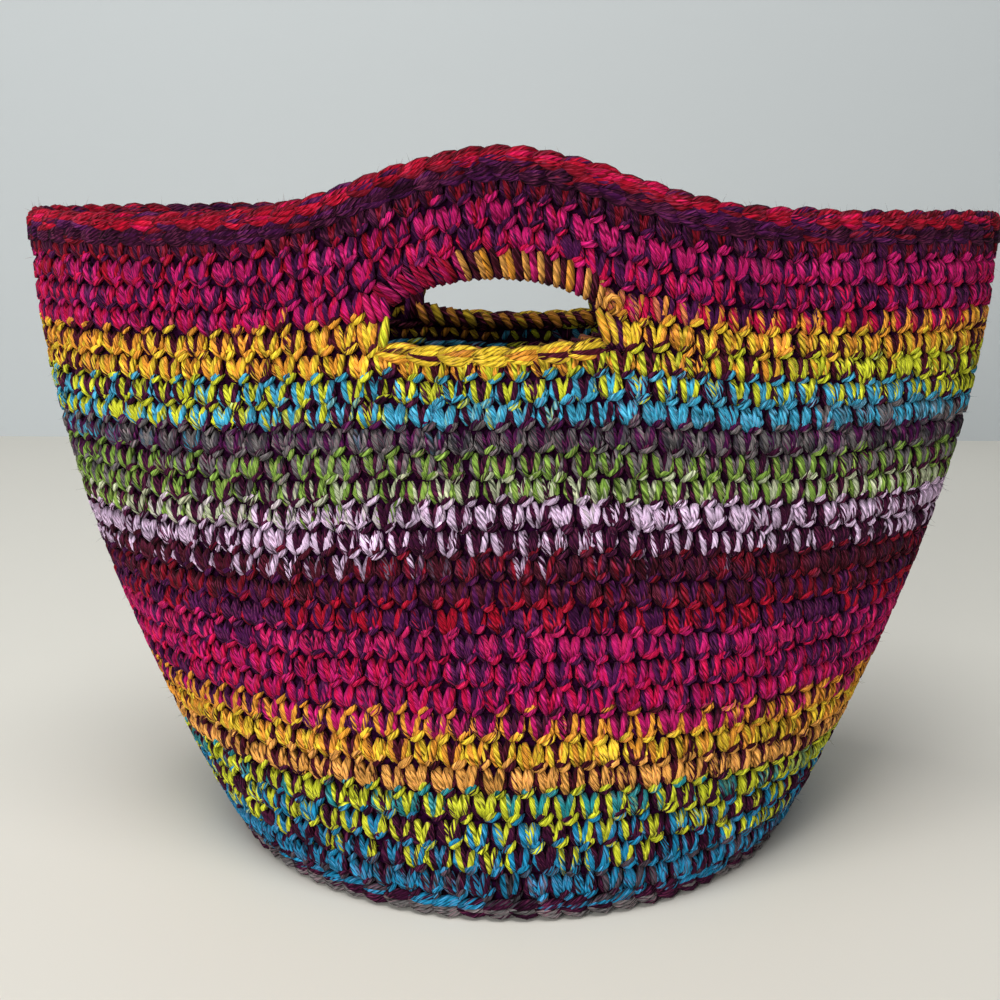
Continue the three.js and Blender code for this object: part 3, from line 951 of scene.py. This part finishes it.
def core_turns():
    """Columns of the core as turns: closer together towards the ends of the holes."""
    across = -np.cos(np.pi * np.arange(CORE_HOLE_COLUMNS) / CORE_HOLE_COLUMNS) * HOLE_TURN / 2
    stretches = []
    for hole, following in ((FRONT_HOLE, BACK_HOLE), (BACK_HOLE, FRONT_HOLE + 1)):
        stretches.append(hole + across)
        stretches.append(np.linspace(hole + HOLE_TURN / 2, following - HOLE_TURN / 2, CORE_SIDE_COLUMNS,
                                     endpoint=False))
    return np.concatenate(stretches)


def core_faces(levels, columns):
    """Four-cornered faces between the rings of the core. Across a hand hole its outer and inner
    faces are left out, and faces along the hole's four edges join the two sides."""
    ring = np.arange(len(levels) - 1)[:, None]
    column = np.arange(columns)[None]
    after = (column + 1) % columns
    quads = np.stack([ring * columns + column, ring * columns + after,
                      (ring + 1) * columns + after, (ring + 1) * columns + column], axis=-1)
    half = CORE_HOLE_COLUMNS + CORE_SIDE_COLUMNS
    in_hole = column % half < CORE_HOLE_COLUMNS
    outer_low = int(np.argmax(levels == HOLE_BOTTOM))
    inner_high = len(levels) - 2 - outer_low
    kept = ~(in_hole & ((ring == outer_low) | (ring == inner_high)))
    low_out, top_out = outer_low * columns, (outer_low + 1) * columns
    top_in, low_in = inner_high * columns, (inner_high + 1) * columns
    hole = np.concatenate([np.arange(CORE_HOLE_COLUMNS), half + np.arange(CORE_HOLE_COLUMNS)])
    ends = np.array([0, half])
    stops = ends + CORE_HOLE_COLUMNS
    edges = ((low_out + hole, low_out + hole + 1, low_in + hole + 1, low_in + hole),
             (top_out + hole + 1, top_out + hole, top_in + hole, top_in + hole + 1),
             (top_out + ends, low_out + ends, low_in + ends, top_in + ends),
             (low_out + stops, top_out + stops, top_in + stops, low_in + stops))
    return np.concatenate([quads[kept]] + [np.stack(edge, axis=1) for edge in edges])


def wall_core(material):
    """Yarn inside the wall, darkened with painted shade, which shows between the strands: a closed
    shell that goes up the wall from the middle of the base, over the rim and down inside, open at
    the hand holes."""
    turns = core_turns()
    columns = len(turns)
    up = np.concatenate([np.arange(-BASE_ROUNDS, 0), np.arange(0, HOLE_BOTTOM), [HOLE_BOTTOM, HOLE_TOP],
                         np.arange(HANDLE_LEVEL, RIM_ROUND + 0.5)])
    levels = np.concatenate([up, [RIM_ROUND], up[::-1]])
    out = np.concatenate([np.full(len(up), CORE_OUTER), [(CORE_OUTER + CORE_INNER) / 2],
                          np.full(len(up), CORE_INNER)])
    raised = np.zeros(len(levels))
    raised[len(up)] = CORE_RIM_RISE
    rings = bag_skin(turns[None], levels[:, None], out[:, None], raised[:, None])
    poles = np.array([[0, 0, -CORE_OUTER], [0, 0, -CORE_INNER]])
    places = np.concatenate([rings.reshape(-1, 3), poles])
    column = np.arange(columns)
    after = (column + 1) % columns
    last = (len(levels) - 1) * columns
    under = np.stack([np.full(columns, len(places) - 2), after, column], axis=1)
    over = np.stack([np.full(columns, len(places) - 1), last + column, last + after], axis=1)
    faces = core_faces(levels, columns).tolist() + under.tolist() + over.tolist()
    mesh = bpy.data.meshes.new("wall_core")
    mesh.from_pydata(places.tolist(), [], faces)
    mesh.polygons.foreach_set("use_smooth", np.ones(len(mesh.polygons), dtype=bool))
    add_piece("wall_core", mesh, material)


# Materials

# Twist of the yarn: turns for each girth along it, the plies, and how far fibres differ along it
TWIST = -0.62
PLIES = 5
FIBRE_CHANGE = 0.9

# Painted shade in the grooves between plies and lighter crests, as a share of the dye, and heights
# of plies and hairs in the relief
PLY_GROOVE_SHADE = 0.2
PLY_RIDGE = 0.3
HAIR_RIDGE = 0.7
RELIEF = 0.5 * MM

# Colour of pale fibres, partly painted sheen: a share of the dye, and what is added to it
PALE_FIBRE_AND_SHEEN_SHARE = (0.5, 0.5, 0.5)
PALE_FIBRE_AND_SHEEN_COLOUR = (0.08, 0.014, 0.032)

# Inputs of a mix that take its two colours
FIRST_OF_MIX = 6
SECOND_OF_MIX = 7


def set_inputs(tree, node, inputs):
    """Gives each of these inputs of a node its value, or joins an output to it."""
    for name, value in inputs.items():
        if isinstance(value, bpy.types.NodeSocket):
            tree.links.new(value, node.inputs[name])
        else:
            node.inputs[name].default_value = value


def add_node(tree, kind, inputs):
    """A node of this kind with these inputs."""
    node = tree.nodes.new("ShaderNode" + kind)
    set_inputs(tree, node, inputs)
    return node


def operation_node(tree, kind, operation, inputs):
    """Result of a node that does this operation with its inputs."""
    node = add_node(tree, kind, {})
    node.operation = operation
    set_inputs(tree, node, inputs)
    return node.outputs[0]


def math_node(tree, operation, *values):
    """Result of an operation with numbers, each a number or an output to join."""
    return operation_node(tree, "Math", operation, dict(enumerate(values)))


def vector_node(tree, operation, inputs):
    """Result of an operation with colours."""
    return operation_node(tree, "VectorMath", operation, inputs)


def noise(tree, inputs):
    """Strength of a noise with these inputs."""
    return add_node(tree, "TexNoise", inputs).outputs["Fac"]


def ranged(tree, inputs):
    """A value moved from one range to another, which is 0 to 1 unless given."""
    return add_node(tree, "MapRange", inputs).outputs[0]


def relief(tree, shader, height, strength):
    """Gives a shader a relief of this height."""
    bump = add_node(tree, "Bump", {"Strength": strength, "Distance": RELIEF, "Height": height})
    set_inputs(tree, shader, {"Normal": bump.outputs[0]})


def new_material(name, inputs):
    """A material, its nodes and its shader with these inputs."""
    material = bpy.data.materials.new(name)
    material.use_nodes = True
    tree = material.node_tree
    shader = tree.nodes["Principled BSDF"]
    set_inputs(tree, shader, inputs)
    return material, tree, shader


def ply_colours(tree, chosen):
    """Colour of a strand: its own dye, or that of some of its plies where they are chosen."""
    dyes = add_node(tree, "Mix", {})
    dyes.data_type = "RGBA"
    set_inputs(tree, dyes, {0: chosen})
    for layer, socket in (("dye", FIRST_OF_MIX), ("ply_dye", SECOND_OF_MIX)):
        colour = add_node(tree, "VertexColor", {})
        colour.layer_name = layer
        set_inputs(tree, dyes, {socket: colour.outputs["Color"]})
    return dyes.outputs[2]


def yarn_material():
    """Spun yarn: the strand's dye with lighter and darker fibres that follow the twist, painted sheen
    on the pale fibres, painted shade in the grooves between plies, a ridge for each ply, and a soft
    fuzz."""
    material, tree, shader = new_material("spun_yarn", {
        "Roughness": 0.86, "Specular IOR Level": 0.06, "Sheen Weight": 0.02, "Sheen Roughness": 0.45,
        "Sheen Tint": (1.0, 0.93, 0.95, 1.0)})
    strand_map = add_node(tree, "UVMap", {})
    strand_map.uv_map = "strand"
    split = add_node(tree, "SeparateXYZ", {0: strand_map.outputs["UV"]})
    along, around = split.outputs[0], split.outputs[1]
    twisted = math_node(tree, "MULTIPLY_ADD", along, TWIST, around)
    angle = math_node(tree, "MULTIPLY", twisted, 2 * math.pi)
    plies = math_node(tree, "SINE", math_node(tree, "MULTIPLY", twisted, 2 * math.pi * PLIES))
    fibre = add_node(tree, "CombineXYZ", {
        0: math_node(tree, "COSINE", angle),
        1: math_node(tree, "SINE", angle),
        2: math_node(tree, "MULTIPLY", along, FIBRE_CHANGE)}).outputs[0]
    streaks = noise(tree, {"Scale": 1.9, "Detail": 2.0, "Roughness": 0.6, "Vector": fibre})
    other_plies = noise(tree, {"Scale": 1.8, "Detail": 1.0, "Vector": fibre})
    hairs = noise(tree, {"Scale": 2.6, "Detail": 1.0, "Vector": fibre})
    chosen = ranged(tree, {"From Min": 0.47, "From Max": 0.56, "Value": other_plies})
    depth = ranged(tree, {"From Min": 0.36, "From Max": 0.64, "To Min": 0.25, "To Max": 1.3,
                          "Value": streaks})
    pale = ranged(tree, {"From Min": 0.54, "From Max": 0.66, "Value": hairs})
    dyed = ply_colours(tree, chosen)
    # Painted shade: the dye darker in the grooves between plies and lighter on their crests
    streaks_and_groove_shade = math_node(tree, "MULTIPLY_ADD", plies, PLY_GROOVE_SHADE, depth)
    shaded = vector_node(tree, "SCALE", {0: dyed, "Scale": streaks_and_groove_shade})
    # Painted sheen on pale fibres: a share of the dye and a pale colour, added where the fibres lie
    fibre_and_sheen_colour = vector_node(tree, "MULTIPLY_ADD", {0: dyed, 1: PALE_FIBRE_AND_SHEEN_SHARE, 2: PALE_FIBRE_AND_SHEEN_COLOUR})
    fibre_and_sheen = vector_node(tree, "SCALE", {0: fibre_and_sheen_colour, "Scale": pale})
    set_inputs(tree, shader, {"Base Color": vector_node(tree, "ADD", {0: shaded, 1: fibre_and_sheen})})
    height = math_node(tree, "MULTIPLY_ADD", plies, PLY_RIDGE, streaks)
    height = math_node(tree, "MULTIPLY_ADD", hairs, HAIR_RIDGE, height)
    relief(tree, shader, height, strength=0.8)
    return material


def core_material():
    """Yarn deep in the wall, plum and purple darkened with painted shade, with an uneven felted
    surface.
    """
    material, tree, shader = new_material("deep_yarn", {"Roughness": 0.95, "Specular IOR Level": 0.03})
    place = add_node(tree, "TexCoord", {}).outputs["Object"]
    fibres = noise(tree, {"Scale": 700.0, "Detail": 3.0, "Vector": place})
    shade = add_node(tree, "ValToRGB", {"Fac": fibres})
    dark, light = shade.color_ramp.elements
    dark.position = 0.35
    dark.color = (*CORE_SHADED_PLUM, 1.0)
    light.position = 0.7
    light.color = (*CORE_SHADED_PURPLE, 1.0)
    set_inputs(tree, shader, {"Base Color": shade.outputs["Color"]})
    relief(tree, shader, fibres, strength=0.6)
    return material


# Put together

# Rounds of stitches in each piece, from the base up
BASE_RANGE = range(-BASE_ROUNDS, 0)
OUTER_BANDS = {
    "lower_wall": range(1, 5),
    "lower_middle_wall": range(5, 10),
    "middle_wall": range(10, 15),
    "upper_middle_wall": range(15, 20),
    "upper_wall": range(20, FIRST_HANDLE_ROUND),
    "handle_wall": range(FIRST_HANDLE_ROUND, RIM_ROUND),
}
INNER_BANDS = {"lower_inside": range(0, 13), "upper_inside": range(13, RIM_ROUND)}

yarn = yarn_material()
for band_name, band_rounds in OUTER_BANDS.items():
    yarn_piece(band_name, outer_stitches(wall_stitches(band_rounds)), yarn)
for band_name, band_rounds in INNER_BANDS.items():
    yarn_piece(band_name, inner_stitches(wall_stitches(band_rounds)), yarn)
yarn_piece("base_underside", outer_stitches(wall_stitches(BASE_RANGE), plain=True), yarn)
yarn_piece("base_inside", inner_stitches(wall_stitches(BASE_RANGE), BASE_THICKNESS), yarn)
yarn_piece("base_edging", base_edging(), yarn)
yarn_piece("rim_edging", rim_edging(), yarn)
for hole_name, hole_middle in (("front_hole_edge", FRONT_HOLE), ("back_hole_edge", BACK_HOLE)):
    hole_edge = handle_wraps(hole_middle) + hole_ledge(hole_middle) + hole_corners(hole_middle)
    yarn_piece(hole_name, hole_edge + hole_rope(hole_middle) + hole_posts(hole_middle), yarn)
yarn_piece("stray_hairs", [wall_hairs(), rim_hairs()], yarn)
wall_core(core_material())


# Floor, light and camera

# Edges of the floor and the backdrop, as places back and up
STAGE_HALF_WIDTH = 4
FLOOR_FRONT = (-3, 0)
FLOOR_BACK = (0.9, 0)
BACKDROP_TOP = (0.9, 3)

LAMP_COLOUR = (1.0, 0.99, 0.97)
SKY_COLOUR = (0.95, 0.97, 1.0, 1.0)
SKY_STRENGTH = 0.25
CAMERA_PLACE = (-5.45 * MM, -609.4 * MM, 270.5 * MM)
CAMERA_PITCH = math.radians(77.332)
CAMERA_ROLL = math.radians(0.275)
SENSOR_WIDTH = 36
FOCAL_LENGTH = 50.49
CLIP_START = 0.02


def stage_sheet(name, near, far, colour, roughness):
    """A flat, even and matt sheet for the stage, from its near to its far edge."""
    right, left = STAGE_HALF_WIDTH, -STAGE_HALF_WIDTH
    mesh = bpy.data.meshes.new(name)
    mesh.from_pydata([(left, *near), (right, *near), (right, *far), (left, *far)], [], [(0, 1, 2, 3)])
    looks = {"Base Color": (*colour, 1.0), "Roughness": roughness}
    mesh.materials.append(new_material("pale_" + name, looks)[0])
    sheet = bpy.data.objects.new(name, mesh)
    bpy.context.collection.objects.link(sheet)


def softbox(name, place, aim, size, power):
    """A square area lamp that faces a point."""
    lamp = bpy.data.lights.new(name, "AREA")
    lamp.size = size
    lamp.energy = power
    lamp.color = LAMP_COLOUR
    box = bpy.data.objects.new(name, lamp)
    box.location = place
    away = np.array(place) - np.array(aim)
    flat = math.hypot(away[0], away[1])
    box.rotation_euler = (math.atan2(flat, away[2]), 0.0, math.atan2(away[0], -away[1]))
    bpy.context.collection.objects.link(box)


stage_sheet("floor", FLOOR_FRONT, FLOOR_BACK, colour=(0.72, 0.70, 0.64), roughness=0.6)
stage_sheet("backdrop", FLOOR_BACK, BACKDROP_TOP, colour=(0.58, 0.62, 0.64), roughness=0.9)
softbox("overhead", place=(-0.2, -0.35, 1.7), aim=(0, 0, 0.12), size=1.1, power=20)
softbox("front_window", place=(-0.9, -1.8, 0.75), aim=(0, 0, 0.14), size=1.0, power=25)

world = bpy.data.worlds.new("room_light")
world.use_nodes = True
background = world.node_tree.nodes["Background"]
background.inputs["Color"].default_value = SKY_COLOUR
background.inputs["Strength"].default_value = SKY_STRENGTH
bpy.context.scene.world = world

camera_data = bpy.data.cameras.new("camera")
camera_data.sensor_width = SENSOR_WIDTH
camera_data.lens = FOCAL_LENGTH
camera_data.clip_start = CLIP_START
camera = bpy.data.objects.new("camera", camera_data)
camera.location = CAMERA_PLACE
camera.rotation_euler = (CAMERA_PITCH, 0.0, 0.0)
camera.rotation_euler.rotate_axis("Z", CAMERA_ROLL)
bpy.context.collection.objects.link(camera)
bpy.context.scene.camera = camera
bpy.context.scene.view_settings.view_transform = "Standard"
